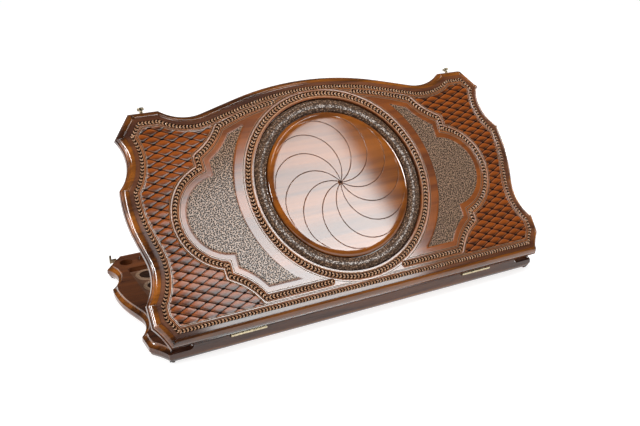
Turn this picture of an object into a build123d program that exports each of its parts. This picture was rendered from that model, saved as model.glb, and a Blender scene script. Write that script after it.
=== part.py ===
"""Folding carved backgammon board, standing open like a book.

The row frame has X along the hinge line, Y away from it and Z up. The origin is the middle of the
round medallion on which the lower half rests. Both halves are made in one local frame: x along the
hinge, y from the hinge line outwards, z from the playing side to the carved side.
"""
import os
from math import cos, degrees, pi, radians, sin, sqrt

from build123d import *

# Whole board
half_thickness = 21.2
opening_angle = 53.1
seam_clearance = 0.15
cutter_overshoot = 1.0
medallion_from_hinge = 163.5

# Outline, right side from the hinge corner to the middle of the arch
hinge_corner_x = 286.5
ear_low = (302.6, 29.7)
ear_top_y = 59.0
ear_hollow_depth = 1.5
waist_low = (289.0, 115.0)
waist_slant = 13.9
waist_run = 26.8
shoulder = (298.6, 207.5)
scoop_middle = (281.0, 244.0)
chamfer_low = (288.5, 274.0)
corner_x = 264.0
flat_end_x = 223.5
flat_depth = 305.8
arch_radius = 440.0
arch_half_width = 115.0
arch_top = 323.6
arch_tail_x = 167.0

# Edge mouldings
ovolo_radius = 8.6
ovolo_facets = 3
bead_step = 1.2
arris_step = 0.6
cove_radius = 6.0
cove_facets = 2
cove_run_out = 26.0

# Playing field and its panel
field_half_length = 264.5
field_near = 20.0
field_far = 252.0
field_depth = 7.0
field_corner_radius = 5.0
panel_thickness = 2.0
panel_clearance = 0.15
points_per_end = 6
point_half_width = 13.5
point_tip_x = 58.0
inlay_thickness = 1.2
inlay_clearance = 0.08
rosette_from_end = 25.5
rosette_radius = 18.6
rosette_sides = 12
rosette_thickness = 0.8
rosette_point_gap = 1.0
disc_radius = 13.0
disc_thickness = 0.5

# Back rail pockets
trough_radius = 12.5
trough_outer_x = 241.0
trough_length = 146.0
trough_y = 274.5
dice_pocket_radius = 10.0
dice_pocket_depth = 11.0
dice_pocket_x = 259.0

# Medallion and its ring
medallion_pocket_radius = 126.2
medallion_pocket_depth = 7.0
dome_radius = 106.4
dome_flat_radius = 97.0
dome_edge_drop = 5.2
ring_inner_radius = 107.4
ring_outer_radius = 125.9
ring_slope = 4.2
ring_drop = 0.3

# Shallow ground of the carving in the outer face
carving_from_edge = 14.8
carving_depth = 1.8

# Hinges
hinge_x = 181.0
hinge_length = 50.0
hinge_leaf_width = 13.0
leaf_thickness = 1.2
knuckle_radius = 3.0
knuckle_count = 3
knuckle_end_gap = 0.2
hinge_pin_radius = 1.3
hinge_fit = 0.05
knuckle_clearance = 0.35
fixing_clearance = 0.1

# Studs and swing hooks on the front edges
catch_x = 244.5
stud_depth = 8.0
stud_shank_radius = 2.2
stud_shank_length = 6.2
stud_head_radius = 4.6
stud_head_height = 1.8
fixing_length = 10.0
pivot_depth = 10.0
hook_stand_off = 2.6
hook_thickness = 1.8
hook_arm_width = 6.0
hook_reach = 31.0
hook_notch_clearance = 0.5
hook_tab_width = 3.0
hook_tab_low = -3.2
hook_tab_high = 9.8
pivot_radius = 1.6
pivot_fit = 0.08
pivot_washer_radius = 3.6
pivot_head_radius = 3.6
pivot_head_height = 1.9
pivot_head_gap = 0.15
hook_eye_rim = 1.2
hook_cheek_rim = 2.2


def mirrored(point):
    return (-point[0], point[1])


def curve(start, middle, end):
    """A straight edge, or an arc where a middle point is given."""
    if middle is None:
        return Line(start, end)
    return ThreePointArc(start, middle, end)


def tangent_middle(start, end, direction):
    """Middle point of the arc that leaves start along direction and reaches end."""
    point = TangentArc(start, end, tangent=direction) @ 0.5
    return (point.X, point.Y)


def right_side():
    """Edges of the right side as start, middle and end points, from the hinge up to the arch."""
    hinge_corner = (hinge_corner_x, 0.0)
    ear_top = (ear_low[0], ear_top_y)
    run_x = ear_low[0] - hinge_corner[0]
    run_y = ear_low[1] - hinge_corner[1]
    run = sqrt(run_x ** 2 + run_y ** 2)
    hollow = (
        (ear_low[0] + hinge_corner[0]) / 2 - ear_hollow_depth * run_y / run,
        (ear_low[1] + hinge_corner[1]) / 2 + ear_hollow_depth * run_x / run,
    )
    rise = (sin(radians(waist_slant)), cos(radians(waist_slant)))
    waist_top = (waist_low[0] + waist_run * rise[0], waist_low[1] + waist_run * rise[1])
    arch_end = (arch_half_width, arch_top - arch_radius + sqrt(arch_radius ** 2 - arch_half_width ** 2))
    fall = -arch_half_width / sqrt(arch_radius ** 2 - arch_half_width ** 2)
    arch_tail = (arch_tail_x, arch_end[1] + fall * (arch_tail_x - arch_half_width))
    flat_end = (flat_end_x, flat_depth)
    corner = (corner_x, flat_depth)
    return [
        (hinge_corner, hollow, ear_low),
        (ear_low, None, ear_top),
        (ear_top, tangent_middle(waist_low, ear_top, (-rise[0], -rise[1])), waist_low),
        (waist_low, None, waist_top),
        (waist_top, tangent_middle(waist_top, shoulder, rise), shoulder),
        (shoulder, scoop_middle, chamfer_low),
        (chamfer_low, None, corner),
        (corner, None, flat_end),
        (flat_end, tangent_middle(arch_tail, flat_end, (1.0, fall)), arch_tail),
        (arch_tail, None, arch_end),
    ]


def outline_edges():
    """The whole outline, counter-clockwise, with the hinge edge last."""
    side = right_side()
    arch_end = side[-1][2]
    right = [curve(*piece) for piece in side]
    arch = ThreePointArc(arch_end, (0.0, arch_top), mirrored(arch_end))
    left = [
        curve(mirrored(end), mirrored(middle) if middle else None, mirrored(start))
        for start, middle, end in reversed(side)
    ]
    hinge_edge = Line((-hinge_corner_x, 0.0), (hinge_corner_x, 0.0))
    return right + [arch] + left, hinge_edge


free_edges, hinge_edge = outline_edges()
outline = make_face(free_edges + [hinge_edge])


def inset(face, distance):
    """A flat face moved in, with its corners kept sharp."""
    return offset(face, amount=-distance, kind=Kind.INTERSECTION)


def disc(radius):
    """A round face about the middle of the medallion."""
    return Pos(0, medallion_from_hinge) * Circle(radius)


def moulding_section():
    """What the edge moulding takes away: x is in from the edge, y is up from the playing side."""
    wall_top = half_thickness - ovolo_radius - arris_step
    shoulder_x = bead_step + ovolo_radius
    shoulder_y = wall_top + ovolo_radius
    arris_x = shoulder_x + arris_step
    beyond = 2 * cutter_overshoot
    turns = [step * pi / 2 / ovolo_facets for step in range(ovolo_facets + 1)]
    ovolo = [(shoulder_x - ovolo_radius * cos(turn), wall_top + ovolo_radius * sin(turn)) for turn in turns]
    return make_face(Polyline(
        (-beyond, wall_top), *ovolo, (arris_x, shoulder_y),
        (arris_x, half_thickness + beyond), (-beyond, half_thickness + beyond), close=True,
    ))


def cove_section():
    """What the hollow under the edge takes away, from the playing side, in flat steps."""
    turns = [(step - 0.5) * pi / 2 / cove_facets for step in range(cove_facets + 2)]
    reach = cove_radius / cos(pi / 4 / cove_facets)
    return make_face(Polyline(
        (-cove_radius, -cove_radius), *[(reach * cos(turn), reach * sin(turn)) for turn in turns], close=True,
    ))


def run_along(edge, section):
    """A section drawn in from the edge and up, run along one straight or round edge of the outline."""
    along = edge % 0
    inward = Vector(-along.Y, along.X, 0)
    placed = Plane(origin=edge @ 0, x_dir=inward, z_dir=along) * section
    if edge.geom_type == GeomType.LINE:
        return extrude(placed, amount=edge.length, dir=along)
    centre = edge.arc_center
    turns_left = inward.dot(centre - edge @ 0) > 0
    axis = Axis(centre, (0, 0, 1 if turns_left else -1))
    return revolve(placed, axis=axis, revolution_arc=degrees(edge.length / edge.radius))


def edge_rod(radius, start, length):
    """A rod square to the front edge, from start millimetres outside it, growing outwards."""
    rod = Cylinder(radius, length, align=(Align.CENTER, Align.CENTER, Align.MIN))
    return Pos(0, flat_depth + start, 0) * Rot(X=-90) * rod


def panel_recess(depth_from, depth_to, grow):
    """The block of the playing field between two depths, grown sideways by a clearance."""
    length = 2 * (field_half_length + grow)
    width = field_far - field_near + 2 * grow
    face = RectangleRounded(length, width, field_corner_radius)
    middle = (field_near + field_far) / 2
    return extrude(Pos(0, middle, depth_from) * face, amount=depth_to - depth_from)


def trough(side):
    """A round-bottomed trough with upright round ends, for checkers that lie on edge."""
    middle = Pos(side * (trough_outer_x - trough_length / 2), trough_y, 0)
    barrel = Rot(Y=90) * Cylinder(trough_radius, trough_length)
    plan = extrude(SlotOverall(trough_length, 2 * trough_radius), amount=trough_radius, both=True)
    return middle * (barrel & plan)


def case_half(fixing_depth, fixing_radius):
    """One wooden half in the local frame, drilled for a fixing in its front edge on each side."""
    wood = extrude(Pos(0, 0, seam_clearance) * outline, amount=half_thickness - seam_clearance)
    for edge in free_edges + [hinge_edge]:
        wood -= run_along(edge, moulding_section())
    for edge in free_edges:
        wood -= run_along(edge, cove_section())
    run_out = hinge_corner_x - cove_run_out
    wood -= run_along(Line((-hinge_corner_x, 0), (-run_out, 0)), cove_section())
    wood -= run_along(Line((run_out, 0), (hinge_corner_x, 0)), cove_section())
    for stop in (-run_out, run_out):
        wood -= Pos(stop, 0, 0) * Sphere(cove_radius)
    wood -= Box(
        3 * hinge_corner_x, 2 * seam_clearance, 3 * half_thickness,
    )
    wood -= panel_recess(-cutter_overshoot, field_depth + panel_thickness, 0.0)
    for side in (-1, 1):
        wood -= trough(side)
        wood -= Pos(side * dice_pocket_x, trough_y, -cutter_overshoot) * Cylinder(
            dice_pocket_radius, dice_pocket_depth + cutter_overshoot, align=(Align.CENTER, Align.CENTER, Align.MIN)
        )
        wood -= Pos(side * hinge_x, 0, 0) * Rot(Y=90) * Cylinder(
            knuckle_radius + knuckle_clearance, hinge_length + 2 * knuckle_clearance
        )
        wood -= Pos(side * hinge_x, 0, 0) * Box(
            hinge_length + 2 * panel_clearance, 2 * (hinge_leaf_width + panel_clearance),
            2 * (seam_clearance + leaf_thickness),
        )
        wood -= Pos(side * catch_x, 0, fixing_depth) * edge_rod(
            fixing_radius + fixing_clearance, -fixing_length - fixing_clearance, fixing_length + cutter_overshoot
        )
    pocket_floor = half_thickness - medallion_pocket_depth
    wood -= extrude(
        Pos(0, 0, pocket_floor) * disc(medallion_pocket_radius), amount=medallion_pocket_depth + cutter_overshoot
    )
    carving_floor = half_thickness - carving_depth
    wood -= extrude(
        Pos(0, 0, carving_floor) * inset(outline, carving_from_edge), amount=carving_depth + cutter_overshoot
    )
    return wood


def medallion():
    """The polished round panel: flat in the middle and rolled down at its rim."""
    foot = half_thickness - medallion_pocket_depth
    rim = half_thickness - dome_edge_drop
    roll = dome_radius - dome_flat_radius
    roll_middle = (dome_flat_radius + roll * sin(pi / 4), rim + dome_edge_drop * cos(pi / 4))
    section = make_face(Polyline(
        (0, foot), (dome_radius, foot), (dome_radius, rim), roll_middle,
        (dome_flat_radius, half_thickness), (0, half_thickness), close=True,
    ))
    return Pos(0, medallion_from_hinge, 0) * revolve(Plane.XZ * section, axis=Axis.Z)


def medallion_ring():
    """The raised ring round the medallion, with sloped sides and its top just under the face."""
    foot = half_thickness - medallion_pocket_depth
    top = half_thickness - ring_drop
    section = make_face(Polyline(
        (ring_inner_radius, foot), (ring_outer_radius, foot),
        (ring_outer_radius - ring_slope, top), (ring_inner_radius + ring_slope, top), close=True,
    ))
    return Pos(0, medallion_from_hinge, 0) * revolve(Plane.XZ * section, axis=Axis.Z)


point_pitch = (field_far - field_near) / points_per_end


def point_places():
    """Every point of one half as its end of the board, its row's y and whether it is a dark one."""
    return [
        (side, field_near + (row + 0.5) * point_pitch, (row + (side > 0)) % 2 == 1)
        for side in (-1, 1)
        for row in range(points_per_end)
    ]


def point_blank(side, y, grow, depth_to):
    """One long pointed inlay, from the panel's surface down to a depth."""
    base_x = field_half_length - rosette_from_end - rosette_radius - rosette_point_gap + grow
    half = point_half_width + grow
    face = make_face(Polyline(
        (side * base_x, y - half), (side * base_x, y + half), (side * (point_tip_x - 3 * grow), y), close=True,
    ))
    return extrude(Pos(0, 0, field_depth) * face, amount=depth_to - field_depth)


def rosette_place(side, y):
    return Pos(side * (field_half_length - rosette_from_end), y, 0)


def rosette_plate():
    """A thin scalloped plate, drawn with straight sides, that lies on the panel."""
    return Pos(0, 0, field_depth) * extrude(RegularPolygon(rosette_radius, rosette_sides), amount=-rosette_thickness)


def dark_disc():
    """A thin dark disc that lies on a rosette plate."""
    foot = Pos(0, 0, field_depth - rosette_thickness)
    return foot * extrude(RegularPolygon(disc_radius, rosette_sides), amount=-disc_thickness)


def play_panel():
    """The panel in the bottom of the field, with pockets for its points."""
    panel = panel_recess(field_depth, field_depth + panel_thickness, -panel_clearance)
    inlay_floor = field_depth + inlay_thickness
    for side, y, _ in point_places():
        panel -= point_blank(side, y, inlay_clearance, inlay_floor)
    return panel


def inlaid_points(dark):
    return [
        point_blank(side, y, 0.0, field_depth + inlay_thickness)
        for side, y, is_dark in point_places()
        if is_dark == dark
    ]


def hinge_leaf(knuckles):
    """A leaf with its plate just under the playing side, carrying the listed knuckles on its edge."""
    plate = Pos(0, hinge_leaf_width / 2, seam_clearance + leaf_thickness / 2) * Box(
        hinge_length, hinge_leaf_width, leaf_thickness
    )
    pitch = hinge_length / knuckle_count
    for place in range(knuckle_count):
        middle = (place + 0.5) * pitch - hinge_length / 2
        if place in knuckles:
            plate += Pos(middle, 0, 0) * Rot(Y=90) * Cylinder(knuckle_radius, pitch - knuckle_end_gap)
        else:
            plate -= Pos(middle, 0, 0) * Rot(Y=90) * Cylinder(
                knuckle_radius + knuckle_clearance, pitch + knuckle_end_gap
            )
    plate -= Rot(Y=90) * Cylinder(hinge_pin_radius + hinge_fit, 2 * hinge_length)
    return plate


def stud():
    """A brass stud with a flat round head, for a hook to catch behind."""
    shank = edge_rod(stud_shank_radius, -fixing_length, fixing_length + stud_shank_length)
    return shank + edge_rod(stud_head_radius, stud_shank_length, stud_head_height)


def hook():
    """A flat brass hook in the local frame of its pivot: it points along -x and is thin along y."""
    catch_reach = pivot_depth + stud_depth
    half = hook_arm_width / 2
    notch = stud_shank_radius + hook_notch_clearance
    arm_end = hook_reach - hook_tab_width
    arm = Pos(-arm_end / 2, 0) * Rectangle(arm_end, hook_arm_width)
    eye = Circle(half + hook_eye_rim)
    cheek = Pos(-catch_reach, 0) * Circle(notch + hook_cheek_rim)
    tab_middle = (hook_tab_high + hook_tab_low) / 2
    tab = Pos(-hook_reach + hook_tab_width / 2, tab_middle) * Rectangle(hook_tab_width, hook_tab_high - hook_tab_low)
    mouth = Pos(-catch_reach, notch) * Rectangle(2 * notch, 2 * notch)
    above = Pos(-catch_reach, half + notch) * Rectangle(4 * notch, 2 * notch)
    plate = arm + eye + (cheek - above) + tab
    plate -= Pos(-catch_reach, 0) * Circle(notch)
    plate -= mouth
    plate -= Circle(pivot_radius + pivot_fit)
    solid = extrude(plate, amount=hook_thickness)
    return Rot(X=90) * solid


def hook_pivot():
    """The screw that a hook turns on: tail in the wood, washer, bare shank and head."""
    head_start = hook_stand_off + hook_thickness + pivot_head_gap
    tail = edge_rod(pivot_radius, -fixing_length, fixing_length + head_start)
    washer = edge_rod(pivot_washer_radius, 0.0, hook_stand_off - pivot_head_gap)
    return tail + washer + edge_rod(pivot_head_radius, head_start, pivot_head_height)


# Where each half stands: the lower one lies carved side down, the upper one is turned up as the lid
case_place = Pos(0, -medallion_from_hinge, half_thickness) * Rot(Y=180)
lid_place = Pos(0, -medallion_from_hinge, half_thickness) * Rot(X=opening_angle)


def in_case(shapes):
    return [case_place * shape for shape in shapes]


def in_lid(shapes):
    return [lid_place * shape for shape in shapes]


def write(name, shapes):
    """One file for one node, which may hold several separate solids."""
    solids = [solid for shape in shapes for solid in shape.solids()]
    node = solids[0] if len(solids) == 1 else Compound(children=solids)
    node.label = name
    export_step(node, os.path.join("parts", name + ".step"))


os.makedirs("parts", exist_ok=True)

case_knuckles = range(0, knuckle_count, 2)
lid_knuckles = range(1, knuckle_count, 2)
panel = play_panel()
dome = medallion()
ring = medallion_ring()
rosettes = [rosette_place(side, y) * rosette_plate() for side, y, _ in point_places()]
discs = [rosette_place(side, y) * dark_disc() for side, y, _ in point_places()]
for place, name, fixing in (
    (in_case, "lower", (pivot_depth, pivot_radius)),
    (in_lid, "upper", (stud_depth, stud_shank_radius)),
):
    write(name + "_case", place([case_half(*fixing)]))
    write(name + "_play_panel", place([panel]))
    write(name + "_light_points", place(inlaid_points(dark=False)))
    write(name + "_dark_points", place(inlaid_points(dark=True)))
    write(name + "_rosettes", place(rosettes))
    write(name + "_rosette_discs", place(discs))
    write(name + "_medallion", place([dome]))
    write(name + "_medallion_ring", place([ring]))

case_leaf = hinge_leaf(case_knuckles)
lid_leaf = hinge_leaf(lid_knuckles)
hinge_pin = Rot(Y=90) * Cylinder(hinge_pin_radius, hinge_length)
for side, name in ((-1, "left"), (1, "right")):
    write(name + "_hinge_case_leaf", in_case([Pos(-side * hinge_x, 0, 0) * case_leaf]))
    write(name + "_hinge_lid_leaf", in_lid([Pos(side * hinge_x, 0, 0) * lid_leaf]))
    write(name + "_hinge_pin", in_case([Pos(-side * hinge_x, 0, 0) * hinge_pin]))
    write(name + "_lid_stud", in_lid([Pos(side * catch_x, 0, stud_depth) * stud()]))
    write(name + "_hook_pivot", in_case([Pos(-side * catch_x, 0, pivot_depth) * hook_pivot()]))
    hook_y = flat_depth - medallion_from_hinge + hook_stand_off + hook_thickness
    flat_hook = hook() if side < 0 else mirror(hook(), about=Plane.YZ)
    write(name + "_hook", [Pos(side * catch_x, hook_y, half_thickness - pivot_depth) * flat_hook])
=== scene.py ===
from math import acos, atan2, ceil, cos, pi, radians, sin, sqrt

import bpy
import numpy as np
from mathutils import Matrix, Vector


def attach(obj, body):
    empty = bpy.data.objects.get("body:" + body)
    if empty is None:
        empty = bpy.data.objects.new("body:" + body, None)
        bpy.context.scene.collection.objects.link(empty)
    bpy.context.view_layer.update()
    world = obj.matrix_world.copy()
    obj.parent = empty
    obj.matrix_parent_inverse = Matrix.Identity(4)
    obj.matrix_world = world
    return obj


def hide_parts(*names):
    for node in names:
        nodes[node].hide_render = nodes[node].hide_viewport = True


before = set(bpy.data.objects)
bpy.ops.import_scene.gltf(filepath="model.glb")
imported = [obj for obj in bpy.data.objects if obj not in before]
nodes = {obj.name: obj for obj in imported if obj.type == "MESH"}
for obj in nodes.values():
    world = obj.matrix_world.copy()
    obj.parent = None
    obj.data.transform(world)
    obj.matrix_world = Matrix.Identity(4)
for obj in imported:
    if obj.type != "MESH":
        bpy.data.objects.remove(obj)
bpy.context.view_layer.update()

# local frame of a half, in mm: x along the hinge, y out from it, z from the playing side to the carved side
halfSizes = dict(thickness=21.2, hingeToMedallion=163.5, opening=53.1)
millimetre = Matrix.Scale(0.001, 4)
hingeLine = Matrix.Translation((0, -0.001 * halfSizes["hingeToMedallion"], 0.001 * halfSizes["thickness"]))
placeOf = {
    "lower": hingeLine @ Matrix.Rotation(pi, 4, "Y") @ millimetre,
    "upper": hingeLine @ Matrix.Rotation(radians(halfSizes["opening"]), 4, "X") @ millimetre,
}
bodyOf = {"lower": "case", "upper": "lid"}
centre = np.array((0.0, halfSizes["hingeToMedallion"]))
print("stage: frame loaded")


# shader wiring: expressions on sockets add their nodes
class Wire:
    def __init__(self, tree, socket):
        self.tree, self.socket = tree, socket

    def node(self, kind, sockets=None, out=0, **settings):  # any other node, its inputs by name or number
        made = self.tree.nodes.new(kind)
        for key, value in settings.items():
            setattr(made, key, value)
        for key, value in (sockets or {}).items():
            put(self.tree, made.inputs[key], value)
        return Wire(self.tree, made.outputs[out])

    def math(self, operation, *others):
        made = self.tree.nodes.new("ShaderNodeMath")
        made.operation = operation
        for place, value in enumerate((self, *others)):
            put(self.tree, made.inputs[place], value)
        return Wire(self.tree, made.outputs[0])

    def __add__(self, other):
        return self.math("ADD", other)

    def __radd__(self, other):
        return self.math("ADD", other)

    def __sub__(self, other):
        return self.math("SUBTRACT", other)

    def __rsub__(self, other):
        return self * -1.0 + other

    def __mul__(self, other):
        return self.math("MULTIPLY", other)

    def __rmul__(self, other):
        return self.math("MULTIPLY", other)

    def __truediv__(self, other):
        return self.math("DIVIDE", other)

    def __rtruediv__(self, other):
        return self.math("POWER", -1.0) * other

    def ramp(self, low, high, start=0.0, end=1.0):  # start to end while self goes from low to high
        return self.node("ShaderNodeMapRange", {
            "Value": self, "From Min": low, "From Max": high, "To Min": start, "To Max": end,
        }, interpolation_type="SMOOTHSTEP")

    def beyond(self, place, soft):  # 1 past a place, 0 before it
        return self.ramp(place - soft, place + soft)

    def band(self, low, high, soft):  # 1 between low and high
        return self.ramp(low - soft, low + soft) * self.ramp(high - soft, high + soft, 1.0, 0.0)

    def mix(self, first, second):  # colours, self as the factor
        return self.node("ShaderNodeMix", {0: self, 6: first, 7: second}, 2, data_type="RGBA")


def most(first, *others):  # the greatest of several values
    for other in others:
        first = first.math("MAXIMUM", other)
    return first


def put(tree, target, value):
    if isinstance(value, Wire):
        tree.links.new(value.socket, target)
    elif hasattr(target.default_value, "__len__") and not hasattr(value, "__len__"):
        target.default_value = [value] * len(target.default_value)
    elif hasattr(target.default_value, "__len__") and len(target.default_value) == 4 and len(value) == 3:
        target.default_value = (*value, 1.0)
    else:
        target.default_value = value


def startMaterial(name):  # a new material, with a wire from its object coordinates
    material = bpy.data.materials.new(name)
    material.use_nodes = True
    tree = material.node_tree
    tree.nodes.clear()
    source = tree.nodes.new("ShaderNodeTexCoord")
    return material, Wire(tree, source.outputs["Object"])


def finishMaterial(material, at, color, roughness, bump=None, bumpDistance=0.001, **constants):
    tree = material.node_tree
    shader = tree.nodes.new("ShaderNodeBsdfPrincipled")
    put(tree, shader.inputs["Base Color"], color)
    put(tree, shader.inputs["Roughness"], roughness)
    if bump is not None:
        normal = at.node("ShaderNodeBump", {"Height": bump, "Distance": bumpDistance, "Strength": 1.0})
        put(tree, shader.inputs["Normal"], normal)
    for key, value in constants.items():
        put(tree, shader.inputs[key.replace("_", " ")], value)
    output = tree.nodes.new("ShaderNodeOutputMaterial")
    tree.links.new(shader.outputs[0], output.inputs["Surface"])
    return material


def scaled(at, x, y, z):
    return at.node("ShaderNodeMapping", {"Vector": at, "Scale": (x, y, z)})


def noise(at, scale, detail=3.0, rough=0.55, distortion=0.0):
    return at.node("ShaderNodeTexNoise", {
        "Vector": at, "Scale": scale, "Detail": detail, "Roughness": rough, "Distortion": distortion,
    })


def attribute(at, name, out=2):  # 2 is the factor, 1 the vector
    return at.node("ShaderNodeAttribute", {}, out, attribute_name=name)


# outline of a half
outlineSizes = dict(
    hingeCorner=(286.5, 0.0), earLow=(302.6, 29.7), earTop=(302.6, 59.0), earHollow=1.5,
    waistLow=(289.0, 115.0), waistSlant=13.9, waistRun=26.8, shoulder=(298.6, 207.5),
    scoopMiddle=(281.0, 244.0), chamferLow=(288.5, 274.0), corner=(264.0, 305.8), flatEnd=(223.5, 305.8),
    archRadius=440.0, archHalfWidth=115.0, archTop=323.6, archTailX=167.0, step=2.0,
)


def arcThrough(start, middle, end):  # centre of the circle through three points
    (ax, ay), (bx, by), (cx, cy) = start, middle, end
    twice = 2 * (ax * (by - cy) + bx * (cy - ay) + cx * (ay - by))
    sa, sb, sc = ax * ax + ay * ay, bx * bx + by * by, cx * cx + cy * cy
    return ((sa * (by - cy) + sb * (cy - ay) + sc * (ay - by)) / twice,
            (sa * (cx - bx) + sb * (ax - cx) + sc * (bx - ax)) / twice)


def tangentMiddle(start, end, direction):  # middle of the arc that leaves start along direction
    leave = Vector(direction).normalized()
    chord = Vector(end) - Vector(start)
    normal = Vector((-leave.y, leave.x))
    radius = chord.length_squared / (2 * chord.dot(normal))
    hub = Vector(start) + normal * radius
    turn = 2 * atan2(chord.dot(normal), chord.dot(leave))
    spoke = Vector(start) - hub
    spoke.rotate(Matrix.Rotation(turn / 2, 2))
    return tuple(hub + spoke)


def sampled(pieces, step):  # points along straight and round pieces, without the last one
    points = []
    for start, middle, end in pieces:
        if middle is None:
            length = (Vector(end) - Vector(start)).length
            count = max(1, ceil(length / step))
            points += [tuple(Vector(start).lerp(Vector(end), k / count)) for k in range(count)]
            continue
        hub = Vector(arcThrough(start, middle, end))
        first, mid, last = (Vector(p) - hub for p in (start, middle, end))
        sweep = first.angle_signed(mid) + mid.angle_signed(last)
        count = max(4, ceil(abs(sweep) * first.length / step))
        for k in range(count):
            turn = -sweep * k / count
            points.append((hub.x + first.x * cos(turn) - first.y * sin(turn),
                           hub.y + first.x * sin(turn) + first.y * cos(turn)))
    return points


def flipped(place):
    return None if place is None else (-place[0], place[1])


def mirroredPieces(pieces):
    return [(flipped(end), flipped(middle), flipped(start)) for start, middle, end in reversed(pieces)]


def rightSide(s):
    run = Vector(s["earLow"]) - Vector(s["hingeCorner"])
    across = Vector((-run.y, run.x)).normalized() * s["earHollow"]
    hollow = tuple((Vector(s["earLow"]) + Vector(s["hingeCorner"])) / 2 + across)
    rise = (sin(radians(s["waistSlant"])), cos(radians(s["waistSlant"])))
    waistTop = (s["waistLow"][0] + s["waistRun"] * rise[0], s["waistLow"][1] + s["waistRun"] * rise[1])
    depth = sqrt(s["archRadius"] ** 2 - s["archHalfWidth"] ** 2)
    archEnd = (s["archHalfWidth"], s["archTop"] - s["archRadius"] + depth)
    fall = -s["archHalfWidth"] / depth
    archTail = (s["archTailX"], archEnd[1] + fall * (s["archTailX"] - s["archHalfWidth"]))
    return [
        (s["hingeCorner"], hollow, s["earLow"]),
        (s["earLow"], None, s["earTop"]),
        (s["earTop"], tangentMiddle(s["waistLow"], s["earTop"], (-rise[0], -rise[1])), s["waistLow"]),
        (s["waistLow"], None, waistTop),
        (waistTop, tangentMiddle(waistTop, s["shoulder"], rise), s["shoulder"]),
        (s["shoulder"], s["scoopMiddle"], s["chamferLow"]),
        (s["chamferLow"], None, s["corner"]),
        (s["corner"], None, s["flatEnd"]),
        (s["flatEnd"], tangentMiddle(archTail, s["flatEnd"], (1.0, fall)), archTail),
        (archTail, None, archEnd),
    ], archEnd


sidePieces, archEnd = rightSide(outlineSizes)
archMiddle = (0.0, outlineSizes["archTop"])
archPiece = [(archEnd, archMiddle, flipped(archEnd))]
hingeEnd = flipped(outlineSizes["hingeCorner"])
hingePiece = [(hingeEnd, None, outlineSizes["hingeCorner"])]
outlinePoints = np.array(sampled(
    sidePieces + archPiece + mirroredPieces(sidePieces) + hingePiece, outlineSizes["step"]))


def nearest(points, loop, closed=True):  # distance to a loop or path, nearest points on it, inside or not
    loop, ends = (loop, np.roll(loop, -1, axis=0)) if closed else (loop[:-1], loop[1:])
    run = ends - loop
    square = (run ** 2).sum(1)
    distance, foot, inside = [], [], []
    for block in np.array_split(points, max(1, len(points) // 3000)):
        offset = block[:, None, :] - loop[None]
        along = np.clip((offset * run[None]).sum(2) / square[None], 0, 1)
        feet = loop[None] + along[..., None] * run[None]
        gap = ((block[:, None, :] - feet) ** 2).sum(2)
        best = gap.argmin(1)
        distance.append(np.sqrt(gap[np.arange(len(block)), best]))
        foot.append(feet[np.arange(len(block)), best])
        above = (loop[None, :, 1] > block[:, None, 1]) != (ends[None, :, 1] > block[:, None, 1])
        with np.errstate(divide="ignore", invalid="ignore"):
            share = (block[:, None, 1] - loop[None, :, 1]) / run[None, :, 1]
            crossing = loop[None, :, 0] + share * run[None, :, 0]
        inside.append((above & (block[:, None, 0] < crossing)).sum(1) % 2 == 1)
    return np.concatenate(distance), np.concatenate(foot), np.concatenate(inside)


def mitred(loop):  # mitre direction of each point, scaled so that 1 mm in stays 1 mm in
    before = loop - np.roll(loop, 1, axis=0)
    after = np.roll(loop, -1, axis=0) - loop
    before /= np.linalg.norm(before, axis=1)[:, None]
    after /= np.linalg.norm(after, axis=1)[:, None]
    left = np.stack((-before[:, 1], before[:, 0]), 1) + np.stack((-after[:, 1], after[:, 0]), 1)
    unit = left / np.linalg.norm(left, axis=1)[:, None]
    scale = (unit * np.stack((-after[:, 1], after[:, 0]), 1)).sum(1)
    return unit / scale[:, None]


def fieldOf(points, loop, corners=()):  # distance, plus outside, with its level lines sharp at the corners
    distance, foot, inside = nearest(points, loop)
    for corner, first, second in corners:
        at = (np.abs(foot - corner).sum(1) < 1e-3) & ~inside
        offset = points[at] - np.array(corner)
        distance[at] = np.maximum(offset @ np.array(first), offset @ np.array(second))
    return np.where(inside, -distance, distance)


def shifted(loop, amount, corners=(), fineness=0.5):  # a loop moved left, without its crossed over bits
    moved = loop + amount * mitred(loop)
    dense = []
    for start, end in zip(moved, np.roll(moved, -1, axis=0)):
        count = max(1, ceil(np.linalg.norm(end - start) / fineness))
        dense += [start + (end - start) * k / count for k in range(count)]
    dense = np.array(dense)
    return dense[np.abs(fieldOf(dense, loop, corners)) > abs(amount) - 0.05]


print("stage: outline", len(outlinePoints))

# arabesque: the two stippled shapes beside the medallion
armSizes = dict(
    tip=(118.0, 265.5), armTop=(142.0, 257.0), neckX=177.0, neckTop=(203.0, 224.0), neckLow=(78.0, 97.0),
    lobe=(226.6, 151.0), armLow=(145.0, 46.4), rootX=20.0, hollow=2.6, step=2.0,
)


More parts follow.
